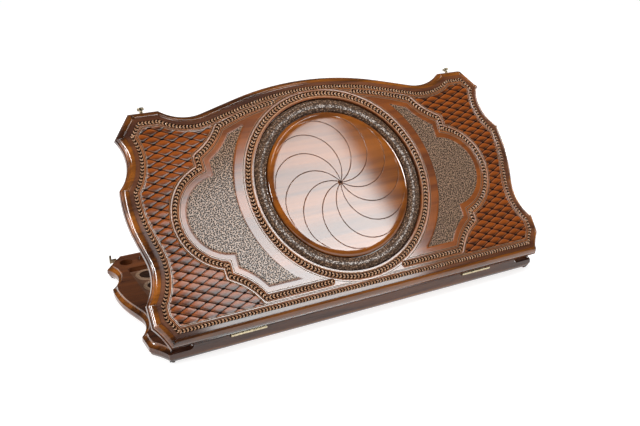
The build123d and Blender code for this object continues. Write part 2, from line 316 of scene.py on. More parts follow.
def armLoop(s):
    low, waistLow, waistHigh, high = ((s["neckX"], y) for y in (*s["neckLow"], *s["neckTop"]))
    sink = s["hollow"] / sqrt(2)
    lowMiddle = ((s["armLow"][0] + low[0]) / 2 - sink, (s["armLow"][1] + low[1]) / 2 + sink)
    highMiddle = ((s["armTop"][0] + high[0]) / 2 - sink, (s["armTop"][1] + high[1]) / 2 - sink)
    hub = outlineSizes["archTop"] - outlineSizes["archRadius"]  # the top runs along the arch from the tip on
    reach = np.hypot(s["tip"][0], s["tip"][1] - hub)
    middleX = (s["rootX"] + s["tip"][0]) / 2
    rootTop, topMiddle = ((x, hub + sqrt(reach ** 2 - x ** 2)) for x in (s["rootX"], middleX))
    rootLow = (s["rootX"], s["armLow"][1])
    loop = sampled([
        (rootLow, None, s["armLow"]), (s["armLow"], lowMiddle, low), (low, None, waistLow),
        (waistLow, s["lobe"], waistHigh), (waistHigh, None, high), (high, highMiddle, s["armTop"]),
        (s["armTop"], None, s["tip"]), (s["tip"], topMiddle, rootTop), (rootTop, None, rootLow),
    ], s["step"])
    return np.array(loop), (s["armLow"], low, high, s["armTop"])


def cornersOf(loop, places):  # each corner with the outward normals of the two sides that meet there
    found = []
    for place in places:
        at = int(np.abs(loop - np.array(place)).sum(1).argmin())
        sides = (loop[at] - loop[at - 1], loop[(at + 1) % len(loop)] - loop[at])
        found.append((place, *((run[1] / np.hypot(*run), -run[0] / np.hypot(*run)) for run in sides)))
    return found


armPoints, armTurns = armLoop(armSizes)
armCorners = cornersOf(armPoints, armTurns)


# meshes, given in the frame of their half
def mesh(name, vertices, faces, side, material, attributes=None, smooth=True):
    data = bpy.data.meshes.new(name)
    data.from_pydata([tuple(v) for v in vertices], [], [tuple(f) for f in faces])
    for key, values in (attributes or {}).items():
        kind = "FLOAT_VECTOR" if np.ndim(values) == 2 else "FLOAT"
        layer = data.attributes.new(key, kind, "POINT")
        layer.data.foreach_set("vector" if kind == "FLOAT_VECTOR" else "value",
                               np.ascontiguousarray(values, dtype=np.float32).ravel())
    data.transform(placeOf.get(side, Matrix.Identity(4)))
    data.materials.append(material)
    if smooth:
        data.polygons.foreach_set("use_smooth", [True] * len(data.polygons))
    data.update()
    made = bpy.data.objects.new(name, data)
    bpy.context.scene.collection.objects.link(made)
    return made


def settle(made, body, slot, *replaced):
    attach(made, body)
    if replaced:
        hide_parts(*replaced)
    return made


# woods: streaks along x and short dark pores
woodSizes = dict(
    along=6.0, across=90.0, broadAlong=0.35, broadAcross=0.16, streaks=0.45, figure=(0.35, 0.66),
    poresAlong=40.0, poresAcross=900.0, pores=(0.56, 0.7), poreShade=0.45, poreDepth=0.00005,
)


def grain(at, along=woodSizes["along"], across=woodSizes["across"]):
    fine, wide = woodSizes["streaks"], across * woodSizes["broadAcross"]
    streaks = noise(scaled(at, along, across, across), 1.0, 5.0, 0.6, 0.6)
    broad = noise(scaled(at, along * woodSizes["broadAlong"], wide, wide), 1.0, 3.0, 0.5, 1.2)
    return streaks * fine + broad * (1 - fine)


def stainedWood(name, dark, light, roughness, coat):
    s = woodSizes
    material, at = startMaterial(name)
    figure = grain(at).ramp(*s["figure"])
    pores = noise(scaled(at, s["poresAlong"], s["poresAcross"], s["poresAcross"]), 1.0, 2.0).ramp(*s["pores"])
    color = figure.mix(dark, light)
    color = (pores * s["poreShade"]).mix(color, tuple(s["poreShade"] * part for part in dark))
    return finishMaterial(material, at, color, figure * 0.08 + roughness, pores * -1.0, s["poreDepth"],
                          Coat_Weight=coat, Coat_Roughness=0.08, Coat_IOR=1.6, Specular_IOR_Level=0.12)


mahogany = stainedWood("polishedMahogany", (0.055, 0.018, 0.009), (0.20, 0.062, 0.018), 0.26, 0.75)
mouldingWood = stainedWood("mouldingMahogany", (0.035, 0.010, 0.003), (0.36, 0.110, 0.012), 0.2, 1.0)
panelWood = stainedWood("panelWood", (0.10, 0.045, 0.026), (0.25, 0.125, 0.075), 0.42, 0.2)
lightWood = stainedWood("lightInlay", (0.34, 0.20, 0.11), (0.55, 0.36, 0.22), 0.4, 0.25)
darkWood = stainedWood("darkInlay", (0.018, 0.009, 0.006), (0.05, 0.024, 0.014), 0.35, 0.3)
print("stage: woods")


def runsWhere(points, keep):  # open runs of neighbouring kept points round a loop
    if keep.all():
        return [(points, True)]
    start = int(np.argmin(keep))
    points, keep = np.roll(points, -start, axis=0), np.roll(keep, -start)
    runs, run = [], []
    for point, good in zip(points, keep):
        if good:
            run.append(point)
        elif run:
            runs.append(run)
            run = []
    if run:
        runs.append(run)
    return [(np.array(r), False) for r in runs if len(r) > 8]


# leaf chains along the border, round the medallion and round each arabesque
chainSizes = dict(
    border=dict(at=17.3, pitch=4.6, length=3.8, width=1.9, spread=1.15),
    ring=dict(at=134.0, pitch=5.3, length=4.7, width=2.3, spread=1.5, points=720),
    arm=dict(at=15.0, pitch=5.0, length=4.2, width=2.1, spread=1.3),
    armFree=(24.0, 144.0, 5.0), slant=0.63, height=1.7, under=0.05,
)

# carved skin: bands, channels, lattice and stippled grounds of an outer face
skinSizes = dict(
    fromEdge=14.85, innerRadius=126.35, cell=1.3, reachX=304.0, reachY=326.0, deepest=1.65, flatDeep=0.02,
    borderChain=(14.7, 19.9), borderLine=23.3, borderLand=24.0, lineHalf=0.4, lineLight=1.1,
    armChain=3.0, armLines=(8.4, 21.6), armLand=22.4, channelDeep=1.6, railStart=0.2, railEnd=1.0,
    ringChain=(130.6, 137.4), ringEdge=128.7, ringEdgeHalf=0.7, ringLine=141.2, ringLand=142.2,
    stippleRadius=155.0, stippleScale=0.50, stippleDeep=0.3, stippleSoft=2.0, pit=(0.26, 0.52),
    latticeX=269.0, latticeY=4.5, pitchX=12.7, pitchY=11.5, lowX=158.0, lowY=40.0,
    groove=(0.25, 0.95), grooveLight=(1.15, 1.75), crossing=(1.0, 1.8), crown=2.2, pillow=(0.2, 0.3),
    bump=0.0011, wallReach=1.3,
)


def skinGrid(s):
    xs = np.arange(-s["reachX"], s["reachX"] + s["cell"], s["cell"])
    ys = np.arange(0.0, s["reachY"], s["cell"])
    gridX, gridY = np.meshgrid(xs, ys, indexing="ij")
    points = np.stack((gridX.ravel(), gridY.ravel()), 1)
    distance, foot, inside = nearest(points, outlinePoints)
    edgeIn = np.where(inside, distance, -distance)
    radius = np.linalg.norm(points - centre, axis=1)
    good = (edgeIn >= s["fromEdge"]) & (radius >= s["innerRadius"])
    index = np.arange(len(points)).reshape(len(xs), len(ys))
    corners = np.stack((index[:-1, :-1], index[1:, :-1], index[1:, 1:], index[:-1, 1:]), -1).reshape(-1, 4)
    count = good[corners].sum(1)
    keep = (count >= 2) & (edgeIn[corners] > s["fromEdge"] - 2 * s["cell"]).all(1)
    corners = corners[keep]
    used = np.unique(corners)
    renumber = np.zeros(len(points), int)
    renumber[used] = np.arange(len(used))
    points, foot, edgeIn = points[used].copy(), foot[used], edgeIn[used]
    low = edgeIn < s["fromEdge"]  # border vertices move in to the skin's own edge
    away = points - foot
    away /= np.maximum(np.linalg.norm(away, axis=1), 1e-6)[:, None]
    away[edgeIn < 0] *= -1
    points[low] = foot[low] + away[low] * s["fromEdge"]
    spoke = points - centre
    radius = np.linalg.norm(spoke, axis=1)
    near = radius < s["innerRadius"]
    points[near] = centre + spoke[near] / radius[near][:, None] * s["innerRadius"]
    return points, renumber[corners]


def steps(value, low=-np.inf, high=np.inf, soft=0.7):  # 1 between low and high, with soft ends
    rise = np.clip((value - low) / soft + 0.5, 0, 1)
    fall = np.clip((high - value) / soft + 0.5, 0, 1)
    return np.minimum(rise * rise * (3 - 2 * rise), fall * fall * (3 - 2 * fall))


skinPoints, skinFaces = skinGrid(skinSizes)
edgeDistance = nearest(skinPoints, outlinePoints)[0]
ringDistance = np.linalg.norm(skinPoints - centre, axis=1)
sidePoints = np.stack((np.abs(skinPoints[:, 0]), skinPoints[:, 1]), 1)
armOut = fieldOf(sidePoints, armPoints, armCorners)


def armChainRuns(s):  # the parts of the line round the arabesque that carry leaves
    fromEdge, fromCentre, fromX = s["armFree"]
    path = shifted(armPoints, -s["arm"]["at"], armCorners)
    free = (nearest(path, outlinePoints)[0] > fromEdge) & (path[:, 0] > fromX)
    return runsWhere(path, free & (np.linalg.norm(path - centre, axis=1) > fromCentre))


armRuns = armChainRuns(chainSizes)
armChain = np.min([nearest(sidePoints, run[::3], False)[0] for run, _ in armRuns], axis=0)
print("stage: skin grid", len(skinPoints), len(skinFaces))


def latticeGaps(x, y, s):  # distances to the nearest line of each of the two ways
    slope = 0.5 * s["pitchY"] / s["pitchX"]
    rows = [(y - s["latticeY"] + way * slope * (x - s["latticeX"])) / s["pitchY"] for way in (-1, 1)]
    return [np.abs(row - np.round(row)) * s["pitchY"] * cos(atan2(slope, 1)) for row in rows]


def skinDepth(s):
    low = (sidePoints[:, 0] < s["lowX"]) & (sidePoints[:, 1] < s["lowY"])
    inLattice = steps(edgeDistance, s["borderLand"]) * steps(armOut, s["armLand"])
    inLattice = np.where(low, 0, inLattice * steps(ringDistance, s["ringLand"]))
    soft = s["stippleSoft"]
    inStipple = steps(armOut, high=0.0, soft=soft) * steps(ringDistance, s["stippleRadius"], soft=soft)
    channel = np.maximum.reduce([
        steps(edgeDistance, *s["borderChain"]), steps(ringDistance, *s["ringChain"]),
        steps(armChain, high=s["armChain"]),
    ])
    first, second = latticeGaps(sidePoints[:, 0], sidePoints[:, 1], s)
    crown = np.clip(first / s["crown"], 0, 1) * np.clip(second / s["crown"], 0, 1)
    pillow = s["pillow"][0] + s["pillow"][1] * (1 - crown * (2 - crown))
    depth = s["flatDeep"] + s["channelDeep"] * channel + inLattice * pillow + s["stippleDeep"] * inStipple
    return np.minimum(depth, s["deepest"])


skinHeights = halfSizes["thickness"] - skinDepth(skinSizes)

# painted light: channel, groove, crossing, line and the stipple's dark are painted shade in the carved
# hollows, grooveLight and rail are painted highlights, lattice holds a cell's shaded and lit colours
carvedColors = dict(
    flat=((0.08, 0.019, 0.005), (0.32, 0.082, 0.009)), lattice=((0.030, 0.007, 0.002), (0.33, 0.072, 0.006)),
    stipple=((0.37, 0.225, 0.14), (0.022, 0.012, 0.007)), channel=(0.022, 0.010, 0.006),
    grooveLight=(0.42, 0.20, 0.10), groove=(0.03, 0.009, 0.004), crossing=(0.003, 0.002, 0.002),
    rail=(0.52, 0.28, 0.15), line=(0.03, 0.012, 0.008),
)


def latticeLines(side, y, s):  # for the shader: both distances, and the way up each lattice cell, which sets its painted shade
    slope = 0.5 * s["pitchY"] / s["pitchX"]
    lift = (side - s["latticeX"]) * slope
    gap = s["pitchY"] * cos(atan2(slope, 1))
    rows = [(y - s["latticeY"] + way) / s["pitchY"] for way in (lift * -1.0, lift)]
    toFirst, toSecond = (row.math("PINGPONG", 0.5) * gap for row in rows)
    return toFirst, toSecond, (rows[0].math("FRACT") + rows[1].math("FRACT")) * 0.5


def scribed(value, place, mask, s):  # a fine line, painted dark as shade in its groove, and it with its two edges, painted light as highlights
    dark = value.band(place - s["lineHalf"], place + s["lineHalf"], 0.2)
    light = value.band(place - s["lineLight"], place + s["lineLight"], 0.25)
    return dark * mask, light * mask


def railsBeside(value, low, high, s):  # the two thin lit rails along a channel
    below = value.band(low - s["railEnd"], low - s["railStart"], 0.25)
    return most(below, value.band(high + s["railStart"], high + s["railEnd"], 0.25)) * 0.7


def carvedMaterial(name, s, colors):
    material, at = startMaterial(name)
    edge, arm, ring, chain = (attribute(at, key) for key in ("edgeIn", "armOut", "ringAt", "chainAt"))
    flat = attribute(at, "faceAt", 1)
    x, y = (flat.node("ShaderNodeSeparateXYZ", {0: flat}, k) for k in (0, 1))
    side = x.math("ABSOLUTE")
    toFirst, toSecond, upward = latticeLines(side, y, s)

    # where each ground and channel lies
    lowBlock = most(side.beyond(s["lowX"], 0.4), y.beyond(s["lowY"], 0.4))
    free, outside = edge.beyond(s["borderLand"], 0.4), ring.beyond(s["ringLand"], 0.4)
    lattice = free * arm.beyond(s["armLand"], 0.4) * outside * lowBlock
    stipple = arm.ramp(-0.5, 0.5, 1.0, 0.0) * ring.beyond(s["stippleRadius"], 0.5)
    armChannel = chain.ramp(s["armChain"] - 0.3, s["armChain"] + 0.3, 1.0, 0.0)
    channel = most(edge.band(*s["borderChain"], 0.3), ring.band(*s["ringChain"], 0.3), armChannel)

    # scribed lines, and the rails that catch the light
    pastBorder = edge.beyond(s["borderChain"][1] + 1.0, 0.5)
    lines = [scribed(edge, s["borderLine"], outside, s), scribed(ring, s["ringLine"], pastBorder, s)]
    lines += [scribed(arm, place, free * outside, s) for place in s["armLines"]]
    line = most(*(dark for dark, light in lines))
    ringEdge = ring.band(s["ringEdge"] - s["ringEdgeHalf"], s["ringEdge"] + s["ringEdgeHalf"], 0.25)
    armRail = chain.band(s["armChain"] + s["railStart"], s["armChain"] + s["railEnd"], 0.25) * 0.7
    rail = most(*(light for dark, light in lines), ringEdge, armRail,
                railsBeside(edge, *s["borderChain"], s), railsBeside(ring, *s["ringChain"], s))
    rail = rail * (1.0 - line) * (1.0 - channel)

    # lattice grooves, their lit edges and their crossings, and the pits of the stippled grounds; grooves,
    # crossings and pits are painted dark as shade
    groove = most(toFirst.ramp(*s["groove"], 1.0, 0.0), toSecond.ramp(*s["groove"], 1.0, 0.0)) * lattice
    grooveLight = toFirst.band(*s["grooveLight"], 0.25) * lattice
    crossing = toFirst.ramp(*s["crossing"], 1.0, 0.0) * toSecond.ramp(*s["crossing"], 1.0, 0.0) * lattice
    fine = flat.node("ShaderNodeVectorMath", {0: flat, 3: s["stippleScale"]}, operation="SCALE")
    cells = flat.node("ShaderNodeTexVoronoi", {"Vector": fine, "Scale": 1.0}, 0,
                      feature="F1", voronoi_dimensions="2D")
    pits = cells.ramp(*s["pit"], 1.0, 0.0)

    figure = grain(at).ramp(0.3, 0.7)
    color = figure.mix(*colors["flat"])
    # painted shade: each lattice cell darker towards its lower side and lighter towards its upper side
    lozengeShade = (upward + figure * 0.25).ramp(0.3, 0.85)
    color = (lattice * 0.9).mix(color, lozengeShade.mix(*colors["lattice"]))
    # painted shade: the stippled ground's pits darkened
    color = stipple.mix(color, pits.mix(*colors["stipple"]))
    # painted shade in the channels, grooves, crossings and scribed lines, painted highlights on the groove
    # edges and rails
    for mask, key in ((channel, "channel"), (grooveLight * 0.35, "grooveLight"), (groove * 0.7, "groove"),
                      (crossing, "crossing"), (rail * 0.7, "rail"), (line * 0.9, "line")):
        color = mask.mix(color, colors[key])

    # cut wood is dull, and so are the channels' walls and the step round the stipple
    cut = most(channel, groove, crossing, line)
    height = rail * 0.3 - line * 0.6 - channel - groove * 0.7 - crossing * 0.5 - pits * stipple * 0.9
    rough = most(stipple * 0.12 + 0.3, cut * 0.85)
    (borderLow, borderHigh), (ringLow, ringHigh), reach = s["borderChain"], s["ringChain"], s["wallReach"]
    wall = most(
        edge.band(borderLow - reach, borderHigh + reach, 0.3),
        ring.band(ringLow - reach, ringHigh + reach, 0.3),
        chain.ramp(s["armChain"] + reach - 0.3, s["armChain"] + reach + 0.3, 1.0, 0.0),
        arm.band(-2.0, 2.0, 0.4) * ring.ramp(s["stippleRadius"] - 3.0, s["stippleRadius"]),
    )
    coat = (1.0 - cut) * (1.0 - pits * stipple * 0.8) * (1.0 - lattice * 0.65)
    coat = coat * (1.0 - stipple * 0.45) * (1.0 - wall * 0.75)
    return finishMaterial(material, at, color, rough, height, s["bump"],
                          Coat_Weight=coat, Coat_Roughness=0.12, Coat_IOR=1.7, Specular_IOR_Level=0.06)


carved = carvedMaterial("carvedFace", skinSizes, carvedColors)
for side in ("lower", "upper"):
    vertices = np.column_stack((skinPoints, skinHeights))
    skin = mesh(side + "_carving", vertices, skinFaces, side, carved, {
        "edgeIn": edgeDistance, "armOut": armOut, "ringAt": ringDistance, "chainAt": armChain,
        "faceAt": np.column_stack((skinPoints, np.zeros(len(skinPoints)))),
    })
    settle(skin, bodyOf[side], "carved_wood")
print("stage: carved skins")


# leaf chains: pairs of leaves that follow a path, by geometry nodes
def chainTree(material):
    tree = bpy.data.node_groups.new("leafChain", "GeometryNodeTree")
    face = tree.interface
    face.new_socket("Geometry", in_out="INPUT", socket_type="NodeSocketGeometry")
    names = ("Pitch", "Leaf Length", "Leaf Width", "Leaf Height", "Slant", "Spread")
    for name, value in zip(names, (5.0, 4.2, 1.6, 1.5, 0.63, 1.4)):
        face.new_socket(name, in_out="INPUT", socket_type="NodeSocketFloat").default_value = value
    face.new_socket("Geometry", in_out="OUTPUT", socket_type="NodeSocketGeometry")
    given = tree.nodes.new("NodeGroupInput")
    path = Wire(tree, given.outputs["Geometry"])
    pitch, length, width, height, slant, spread = (Wire(tree, given.outputs[name]) for name in names)
    places = path.node("GeometryNodeResampleCurve", {"Curve": path, "Length": pitch}, mode="LENGTH")
    tangent = path.node("GeometryNodeInputTangent")
    turn = path.node("FunctionNodeAlignRotationToVector", {"Vector": tangent}, axis="X", pivot_axis="Z")
    leaf = path.node("GeometryNodeMeshUVSphere", {"Segments": 8, "Rings": 6, "Radius": 0.5})
    size = path.node("ShaderNodeCombineXYZ", {0: length, 1: width, 2: height})
    pair = tree.nodes.new("GeometryNodeJoinGeometry")
    for side in (1.0, -1.0):
        place = path.node("ShaderNodeCombineXYZ", {1: spread * side})
        lean = path.node("ShaderNodeCombineXYZ", {2: slant * -side})
        placed = path.node("GeometryNodeTransform", {
            "Geometry": leaf, "Translation": place, "Rotation": lean, "Scale": size})
        tree.links.new(placed.socket, pair.inputs[0])
    spreadOut = path.node("GeometryNodeInstanceOnPoints", {
        "Points": places, "Instance": Wire(tree, pair.outputs[0]), "Rotation": turn})
    real = path.node("GeometryNodeRealizeInstances", {0: spreadOut})
    paint = path.node("GeometryNodeSetMaterial", {"Geometry": real, "Material": material})
    tree.links.new(paint.socket, tree.nodes.new("NodeGroupOutput").inputs[0])
    return tree


def pathCurve(name, runs, height):  # runs of points with closed or open ends, as one curve object
    data = bpy.data.curves.new(name, "CURVE")
    data.dimensions = "3D"
    for points, closed in runs:
        spline = data.splines.new("POLY")
        spline.points.add(len(points) - 1)
        for target, (x, y) in zip(spline.points, points):
            target.co = (x, y, height, 1.0)
        spline.use_cyclic_u = closed
    made = bpy.data.objects.new(name, data)
    bpy.context.scene.collection.objects.link(made)
    return made


def grown(name, source, tree, values, side, slot):  # the modifier's result as a plain mesh in its place
    modifier = source.modifiers.new("grow", "NODES")
    modifier.node_group = tree
    for item in tree.interface.items_tree:
        if item.in_out == "INPUT" and item.name in values:
            modifier[item.identifier] = values[item.name]
    evaluated = source.evaluated_get(bpy.context.evaluated_depsgraph_get())
    data = bpy.data.meshes.new_from_object(evaluated)
    source.modifiers.remove(modifier)
    bpy.data.objects.remove(source)
    data.name = name
    data.transform(placeOf[side])
    data.polygons.foreach_set("use_smooth", [True] * len(data.polygons))
    made = bpy.data.objects.new(name, data)
    bpy.context.scene.collection.objects.link(made)
    return settle(made, bodyOf[side], slot)


def leafMaterial():
    material, at = startMaterial("leafWood")
    figure = noise(at, 500.0, 2.0).ramp(0.35, 0.65)
    color = figure.mix((0.30, 0.13, 0.055), (0.62, 0.35, 0.19))
    return finishMaterial(material, at, color, figure * 0.1 + 0.3,
                          Coat_Weight=1.0, Coat_Roughness=0.16, Coat_IOR=1.6, Specular_IOR_Level=0.1)


leafWood = leafMaterial()
leaves = chainTree(leafWood)
borderPath = shifted(outlinePoints, chainSizes["border"]["at"])
bothArms = []
for points, closed in armRuns:
    bothArms += [(points, closed), (points * np.array((-1, 1)), closed)]
turns = np.linspace(0, 2 * pi, chainSizes["ring"]["points"], endpoint=False)
ringPath = centre + chainSizes["ring"]["at"] * np.stack((np.cos(turns), np.sin(turns)), 1)
height = halfSizes["thickness"] - chainSizes["under"] - chainSizes["height"] / 2
for side in ("lower", "upper"):
    for name, runs in (("border", [(borderPath, True)]), ("ring", [(ringPath, True)]), ("arm", bothArms)):
        sizes = chainSizes[name]
        grown(side + "_" + name + "_chain", pathCurve(name + "Path", runs, height), leaves, {
            "Pitch": sizes["pitch"], "Leaf Length": sizes["length"], "Leaf Width": sizes["width"],
            "Spread": sizes["spread"], "Leaf Height": chainSizes["height"], "Slant": chainSizes["slant"],
        }, side, "carved_wood")
print("stage: chains")

# edge mouldings: smooth ovolo and cove over the case's flat steps
mouldingSizes = dict(
    ovolo=8.6, bead=1.2, arris=0.6, cove=6.0, coveRim=0.1, proud=0.05, ease=0.018, steps=12, coveSteps=7,
)


def stripAlong(loop, direction, profile, closed=True):
    vertices, faces = [], []
    for inward, height in profile:
        ring = loop + direction * inward
        vertices += [(x, y, height) for x, y in ring]
    count = len(loop)
    last = count if closed else count - 1
    for k in range(0, (len(profile) - 1) * count, count):
        for j in range(last):
            follow = (j + 1) % count
            faces.append((k + j, k + follow, k + count + follow, k + count + j))
    return vertices, faces


def ovoloProfile(s):
    wallTop = halfSizes["thickness"] - s["ovolo"] - s["arris"]
    inner = s["bead"] + s["ovolo"]
    profile = []
    for k in range(s["steps"] + 1):
        turn = k * pi / 2 / s["steps"]
        reach = s["ovolo"] * (1 - s["ease"] * sin(3 * turn) ** 2) + s["proud"]
        profile.append((inner - reach * cos(turn), wallTop + reach * sin(turn)))
    return profile


def coveProfile(s):  # it stops short of the rim, where the closed halves meet
    reach = s["cove"] - s["proud"] - s["coveRim"]
    turns = [k * pi / 2 / s["coveSteps"] for k in range(s["coveSteps"], -1, -1)]
    return [(s["coveRim"] + reach * cos(turn), s["coveRim"] + reach * sin(turn)) for turn in turns]


outlineMitre = mitred(outlinePoints)
freeCount = 1 + int(np.argmin(np.abs(outlinePoints - np.array(hingeEnd)).sum(1)))  # all but the hinge side
for side in ("lower", "upper"):
    vertices, faces = stripAlong(outlinePoints, outlineMitre, ovoloProfile(mouldingSizes))
    settle(mesh(side + "_ovolo", vertices, faces, side, mouldingWood), bodyOf[side], "carved_wood")
    vertices, faces = stripAlong(
        outlinePoints[:freeCount], outlineMitre[:freeCount], coveProfile(mouldingSizes), closed=False)
    settle(mesh(side + "_cove", vertices, faces, side, mouldingWood), bodyOf[side], "carved_wood")
print("stage: mouldings")

# medallion: polished dome with its pinwheel of grooves, each an arc from the centre
domeSizes = dict(
    radius=106.4, flat=97.0, drop=5.2, foot=14.2, top=21.2, arc=49.3, count=11, phase=114.3, fade=2.0,
    start=3.0, width=0.9, depth=0.7, rings=44, rollSteps=12, between=9,
    across=(-1.7, -1.15, -0.6, 0.0, 0.6, 1.15, 1.7),  # columns across a groove, in groove half widths
)


def domeMesh(s):
    pitch, end, y = 2 * pi / s["count"], 2 * s["arc"], centre[1]
    total = (len(s["across"]) + s["between"]) * s["count"]
    vertices, faces = [(0.0, y, s["top"] - s["depth"])], []

    def addRing(r, z, deep=0.0):
        inArc = r < end
        slant = sqrt(max(0.02, 1 - (r / end) ** 2)) if inArc else 0.14
        halfTurn = min(0.5 * s["width"] / r / slant, 0.22 * pitch)
        edge = s["across"][-1] * halfTurn
        for k in range(s["count"]):
            base = radians(s["phase"]) + k * pitch - (acos(r / end) if inArc else 0.0)
            for place in s["across"]:
                turn = base + place * halfTurn
                vertices.append((r * cos(turn), y + r * sin(turn), z - deep * max(0.0, 1 - abs(place))))
            for j in range(1, s["between"] + 1):
                turn = base + edge + (pitch - 2 * edge) * j / (s["between"] + 1)
                vertices.append((r * cos(turn), y + r * sin(turn), z))

    for r in np.linspace(s["start"], end - 0.6, s["rings"]):
        if r <= s["flat"] + 0.4:
            addRing(r, s["top"], s["depth"] * min(1.0, (end - r) / s["fade"]))
    roll = s["radius"] - s["flat"]
    for k in range(1, s["rollSteps"] + 1):
        turn = k * pi / 2 / s["rollSteps"]
        addRing(s["flat"] + roll * sin(turn), s["top"] - s["drop"] * (1 - cos(turn)))
    addRing(s["radius"], s["foot"])
    rim = len(vertices) - total
    faces += [(0, 1 + j, 1 + (j + 1) % total) for j in range(total)]
    for first in range(1, rim, total):
        for j in range(total):
            a, b = first + j, first + (j + 1) % total
            faces.append((a, a + total, b + total, b))
    vertices.append((0.0, y, s["foot"]))
    faces += [(rim + j, len(vertices) - 1, rim + (j + 1) % total) for j in range(total)]
    return vertices, faces


def domeMaterial():
    material, at = startMaterial("polishedDome")
    streaks = grain(at, 4.0, 60.0).ramp(0.36, 0.64)
    color = streaks.mix((0.13, 0.038, 0.009), (0.35, 0.10, 0.010))
    groove = attribute(at, "grooveAt").ramp(0.0, 0.5)
    # painted shade: the dome's grooves darkened
    color = (groove * 0.9).mix(color, (0.02, 0.008, 0.004))
    rough = most(streaks * 0.04 + 0.14, groove * 0.6)
    return finishMaterial(material, at, color, rough, Coat_Weight=1.0 - groove, Coat_Roughness=0.07,
                          Coat_IOR=1.65, Specular_IOR_Level=0.1)


dome = domeMaterial()
domeVertices, domeFaces = domeMesh(domeSizes)
domeArray = np.array(domeVertices)
onTop = np.linalg.norm(domeArray[:, :2] - centre, axis=1) < domeSizes["flat"]
grooveAt = np.where(onTop, np.clip((domeSizes["top"] - domeArray[:, 2]) / domeSizes["depth"], 0, 1), 0)
for side in ("lower", "upper"):
    made = mesh(side + "_dome", domeVertices, domeFaces, side, dome, {"grooveAt": grooveAt})
    settle(made, bodyOf[side], "carved_wood", side + "_medallion")
print("stage: domes")

# pebbled ring round the medallion
ringSizes = dict(
    inner=107.4, outer=125.9, foot=14.2, side=16.6, top=20.9, steps=12, turns=180, pebble=0.0012,
)


def ringMesh(s):
    middle, reach = (s["inner"] + s["outer"]) / 2, (s["outer"] - s["inner"]) / 2
    profile = [(s["inner"], s["foot"])]
    for k in range(s["steps"] + 1):
        turn = pi - k * pi / s["steps"]
        profile.append((middle + reach * cos(turn), s["side"] + (s["top"] - s["side"]) * sin(turn)))
    profile.append((s["outer"], s["foot"]))
    vertices, faces = [], []
    count = len(profile)
    for j in range(s["turns"]):
        turn = 2 * pi * j / s["turns"]
        vertices += [(r * cos(turn), centre[1] + r * sin(turn), z) for r, z in profile]
    for j in range(s["turns"]):
        follow = (j + 1) % s["turns"]
        for k in range(count):
            nextK = (k + 1) % count
            faces.append((j * count + k, j * count + nextK, follow * count + nextK, follow * count + k))
    return vertices, faces


def ringMaterial():
    material, at = startMaterial("pebbledRing")
    cells = at.node("ShaderNodeTexVoronoi", {"Vector": at, "Scale": 380.0}, 0, feature="F1")
    pits = cells.ramp(0.2, 0.6)
    # painted shade: the pebbled ring's pits darkened
    color = pits.mix((0.34, 0.20, 0.12), (0.07, 0.038, 0.022))
    return finishMaterial(material, at, color, pits * 0.3 + 0.3, pits * -1.0, ringSizes["pebble"],
                          Coat_Weight=1.0 - pits * 0.9, Coat_Roughness=0.15, Coat_IOR=1.6,
                          Specular_IOR_Level=0.1)


pebbled = ringMaterial()
ringVertices, ringFaces = ringMesh(ringSizes)
for side in ("lower", "upper"):
    made = mesh(side + "_ring", ringVertices, ringFaces, side, pebbled)
    settle(made, bodyOf[side], "carved_wood", side + "_medallion_ring")
print("stage: rings")

# turned rosettes with their dark discs
rosetteSizes = dict(
    x=239.0, near=20.0, far=252.0, count=6, panel=7.0, turns=56, ridge=14.8, ridgeHalf=0.9, tip=0.02,
    plate=((13.0, 0.0), (13.0, 0.75), (13.9, 0.35), (14.8, 0.8), (15.7, 0.35), (16.6, 0.8), (17.5, 0.35),
           (18.0, 0.7), (18.5, 0.3), (18.5, 0.0)),
    disc=((0.0, 0.85), (6.0, 0.85), (6.6, 0.7), (7.2, 0.85), (12.2, 0.8), (12.9, 0.4), (12.9, 0.0)),
)


def rosetteMesh(s, profile):
    vertices, faces, radii = [], [], []
    pitch = (s["far"] - s["near"]) / s["count"]
    for x in (-s["x"], s["x"]):
        for row in range(s["count"]):
            y, base = s["near"] + (row + 0.5) * pitch, len(vertices)
            for j in range(s["turns"]):
                turn = 2 * pi * j / s["turns"]
                for r, rise in profile:
                    reach = max(r, s["tip"])
                    vertices.append((x + reach * cos(turn), y + reach * sin(turn), s["panel"] - rise))
                    radii.append(r)
            count = len(profile)
            for j in range(s["turns"]):
                follow = (j + 1) % s["turns"]
                for k in range(count - 1):
                    faces.append((base + j * count + k, base + follow * count + k,
                                  base + follow * count + k + 1, base + j * count + k + 1))
    return vertices, faces, np.array(radii)


def rosetteMaterial(s):
    material, at = startMaterial("carvedRosette")
    radius = attribute(at, "radiusAt")
    ridge = (radius - s["ridge"]).math("PINGPONG", s["ridgeHalf"]).ramp(0.15, 0.6, 1.0, 0.0)
    ground = grain(at).ramp(0.35, 0.66).mix((0.10, 0.05, 0.03), (0.20, 0.105, 0.065))
    return finishMaterial(material, at, ridge.mix(ground, (0.55, 0.36, 0.23)), ridge * -0.1 + 0.42,
                          Coat_Weight=0.3, Coat_Roughness=0.15)


carvedRosette = rosetteMaterial(rosetteSizes)
for side in ("lower", "upper"):
    for name, part, material, slot, replaced in (
        ("_turned_rosettes", "plate", carvedRosette, "light_wood", "_rosettes"),
        ("_turned_discs", "disc", darkWood, "dark_wood", "_rosette_discs"),
    ):
        vertices, faces, radii = rosetteMesh(rosetteSizes, rosetteSizes[part])
        made = mesh(side + name, vertices, faces, side, material, {"radiusAt": radii})
        settle(made, bodyOf[side], slot, side + replaced)
print("stage: rosettes")

# hinge screws, by geometry nodes
screwSizes = dict(
    hingeX=181.0, pitch=17.0, y=8.2, middle=0.35, radius=2.3, height=0.5, slot=(4.0, 0.55, 0.56),
)


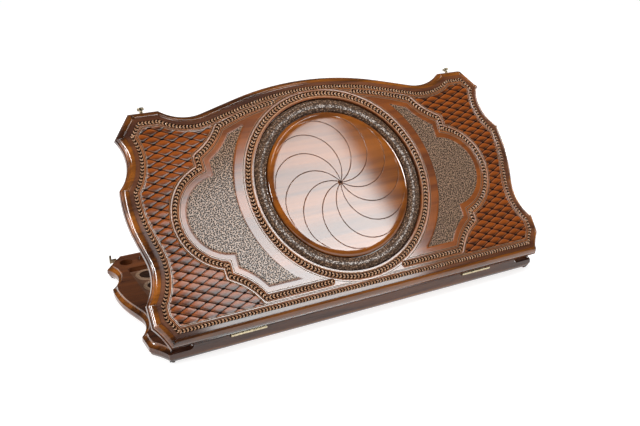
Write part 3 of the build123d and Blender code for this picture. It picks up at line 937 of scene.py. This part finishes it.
def screwTree(material, s):
    tree = bpy.data.node_groups.new("screwHeads", "GeometryNodeTree")
    face = tree.interface
    face.new_socket("Geometry", in_out="INPUT", socket_type="NodeSocketGeometry")
    for name, value in (("Head Radius", s["radius"]), ("Head Height", s["height"])):
        face.new_socket(name, in_out="INPUT", socket_type="NodeSocketFloat").default_value = value
    face.new_socket("Geometry", in_out="OUTPUT", socket_type="NodeSocketGeometry")
    given = tree.nodes.new("NodeGroupInput")
    names = ("Geometry", "Head Radius", "Head Height")
    points, radius, height = (Wire(tree, given.outputs[name]) for name in names)
    head = points.node("GeometryNodeMeshCylinder", {"Vertices": 28, "Radius": radius, "Depth": height})
    slot = points.node("GeometryNodeMeshCube", {"Size": s["slot"]})
    both = tree.nodes.new("GeometryNodeJoinGeometry")
    tree.links.new(head.socket, both.inputs[0])
    tree.links.new(slot.socket, both.inputs[0])
    spread = points.node("GeometryNodeInstanceOnPoints", {
        "Points": points, "Instance": Wire(tree, both.outputs[0])})
    real = points.node("GeometryNodeRealizeInstances", {0: spread})
    paint = points.node("GeometryNodeSetMaterial", {"Geometry": real, "Material": material})
    tree.links.new(paint.socket, tree.nodes.new("NodeGroupOutput").inputs[0])
    return tree


# brass, and the materials of the frame's own nodes
def brassMaterial(name, low, high, roughness):
    material, at = startMaterial(name)
    wear = noise(at, 300.0, 4.0).ramp(0.3, 0.7)
    return finishMaterial(material, at, wear.mix(low, high), wear * 0.12 + roughness, Metallic=1.0)


brass = brassMaterial("brass", (0.46, 0.38, 0.24), (0.72, 0.62, 0.42), 0.22)
agedBrass = brassMaterial("agedBrass", (0.16, 0.13, 0.09), (0.42, 0.34, 0.22), 0.3)
heads = screwTree(brass, screwSizes)
for side in ("lower", "upper"):
    spots = [(hinge + k * screwSizes["pitch"], screwSizes["y"], screwSizes["middle"])
             for hinge in (-screwSizes["hingeX"], screwSizes["hingeX"]) for k in (-1, 0, 1)]
    data = bpy.data.meshes.new("screwSpots")
    data.from_pydata(spots, [], [])
    source = bpy.data.objects.new("screwSpots", data)
    bpy.context.scene.collection.objects.link(source)
    grown(side + "_hinge_screws", source, heads, {
        "Head Radius": screwSizes["radius"], "Head Height": screwSizes["height"]}, side, "brass")

materialOf = {
    "case": mahogany, "play_panel": panelWood, "light_points": lightWood, "dark_points": darkWood,
    "rosettes": lightWood, "rosette_discs": darkWood, "medallion": dome, "medallion_ring": pebbled,
    "leaf": brass, "pin": brass, "stud": agedBrass, "pivot": agedBrass, "hook": agedBrass,
}
for name, node in nodes.items():
    kind = next(k for k in sorted(materialOf, key=len, reverse=True) if name.endswith(k))
    node.data.materials.clear()
    node.data.materials.append(materialOf[kind])
print("stage: materials")

# floor, backdrop, lights and camera, in metres
studioSizes = dict(
    floor=6.0, floorGlow=0.4, floorSeen=1.2, floorMirrored=1.2, sky=0.38, skyMirrored=0.04,
    lens=47.29, sensor=36.0, cameraAt=(-0.54720, -1.03127, 0.56000),
    forward=(0.44181, 0.81538, -0.37411), right=(0.87855, -0.47764, -0.00350), up=(0.18154, 0.32712, 0.92739),
)
white = (1.0, 1.0, 1.0)


def paleFloor(s):
    material, at = startMaterial("paleFloor")
    cloud = noise(at, 3.0, 2.0).ramp(0.3, 0.7)
    diffuse = at.node("ShaderNodeBsdfDiffuse", {"Color": cloud.mix((0.90, 0.90, 0.90), (0.93, 0.93, 0.93))})
    seen, mirrored = (at.node("ShaderNodeLightPath", {}, k) for k in (0, 3))  # camera and glossy rays
    strength = seen * s["floorSeen"] + mirrored * s["floorMirrored"] + s["floorGlow"]
    glow = at.node("ShaderNodeEmission", {"Color": white, "Strength": strength})
    both = at.node("ShaderNodeMixShader", {0: 0.5, 1: diffuse, 2: glow})
    put(material.node_tree, material.node_tree.nodes.new("ShaderNodeOutputMaterial").inputs["Surface"], both)
    return material


def studioSky(s):
    world = bpy.data.worlds.new("studio")
    world.use_nodes = True
    tree = world.node_tree
    tree.nodes.clear()
    seen = Wire(tree, tree.nodes.new("ShaderNodeLightPath").outputs["Is Camera Ray"])
    mirrored = seen.node("ShaderNodeLightPath", {}, 3)
    strength = most(seen, mirrored * (s["skyMirrored"] - s["sky"]) + s["sky"])
    sky = seen.node("ShaderNodeBackground", {"Color": white, "Strength": strength})
    put(tree, tree.nodes.new("ShaderNodeOutputWorld").inputs["Surface"], sky)
    return world


def glowCard(name, place, target, width, height, strength, color, soft):  # a light card, bright in its middle
    material, at = startMaterial(name)
    u, v = (at.node("ShaderNodeSeparateXYZ", {0: attribute(at, "spot", 1)}, k) for k in (0, 1))
    acrossCard, alongCard = (value.math("ABSOLUTE").ramp(1.0 - soft, 1.0, 1.0, 0.0) for value in (u, v))
    inside = acrossCard * alongCard * (1.0 - v * 0.35)
    shade = at.node("ShaderNodeVectorMath", {0: color, 3: inside}, operation="SCALE")
    light = at.node("ShaderNodeEmission", {"Color": shade, "Strength": strength})
    put(material.node_tree, material.node_tree.nodes.new("ShaderNodeOutputMaterial").inputs["Surface"], light)
    corners = [(-1, -1), (1, -1), (1, 1), (-1, 1)]
    places = [(x * width / 2, y * height / 2, 0) for x, y in corners]
    made = mesh(name, places, [(0, 1, 2, 3)], None, material,
                {"spot": np.array([(x, y, 0) for x, y in corners], float)}, smooth=False)
    turn = (Vector(target) - Vector(place)).to_track_quat("-Z", "Y").to_matrix().to_4x4()
    made.data.transform(Matrix.Translation(place) @ turn)
    made.visible_camera = made.visible_diffuse = False
    return made


def softbox(name, place, target, width, height, power):
    data = bpy.data.lights.new(name, "AREA")
    data.shape, data.size, data.size_y = "RECTANGLE", width, height
    data.energy = power
    made = bpy.data.objects.new(name, data)
    made.location = place
    made.rotation_euler = (Vector(target) - Vector(place)).to_track_quat("-Z", "Y").to_euler()
    bpy.context.scene.collection.objects.link(made)
    return made


def photoCamera(s):
    data = bpy.data.cameras.new("photoCamera")
    data.lens, data.sensor_width = s["lens"], s["sensor"]
    made = bpy.data.objects.new("photoCamera", data)
    bpy.context.scene.collection.objects.link(made)
    forward, right, up = (Vector(s[key]) for key in ("forward", "right", "up"))
    turn = Matrix((right, up, -forward)).transposed().to_4x4()
    made.matrix_world = Matrix.Translation(s["cameraAt"]) @ turn
    return made


size = studioSizes["floor"]
corners = [(-size, -size, 0), (size, -size, 0), (size, size, 0), (-size, size, 0)]
floor = mesh("floor", corners, [(0, 1, 2, 3)], None, paleFloor(studioSizes), smooth=False)
bpy.context.scene.world = studioSky(studioSizes)

low = (0.0, 0.0, 0.1)  # what the softboxes aim at
glowCard("frontCard", (0.5068, -1.0811, 1.1422), (0.0, -0.05, 0.15), 0.75, 0.68, 8.6, (0.92, 0.98, 1.0), 0.2)
glowCard("leftCard", (-1.9, -0.35, 0.75), (-0.2, 0.0, 0.15), 0.12, 1.1, 22.0, white, 0.3)
glowCard("rightCard", (1.85, -0.12, 0.75), (0.0, -0.05, 0.2), 0.5, 0.6, 16.0, white, 0.2)
glowCard("topCard", (0.15, -0.3, 1.9), (0.0, 0.0, 0.15), 1.6, 0.07, 18.0, white, 0.3)
softbox("leftBox", (-1.9, -0.3, 0.7), low, 0.2, 1.4, 22.0)
softbox("topBox", (0.2, -0.2, 2.0), low, 1.6, 0.5, 30.0).visible_glossy = False
softbox("rightBox", (1.9, 0.15, 0.65), low, 0.3, 0.9, 14.0)

camera = photoCamera(studioSizes)
bpy.context.scene.camera = camera
bpy.context.scene.view_settings.view_transform = "Standard"
print("stage: lights and camera")
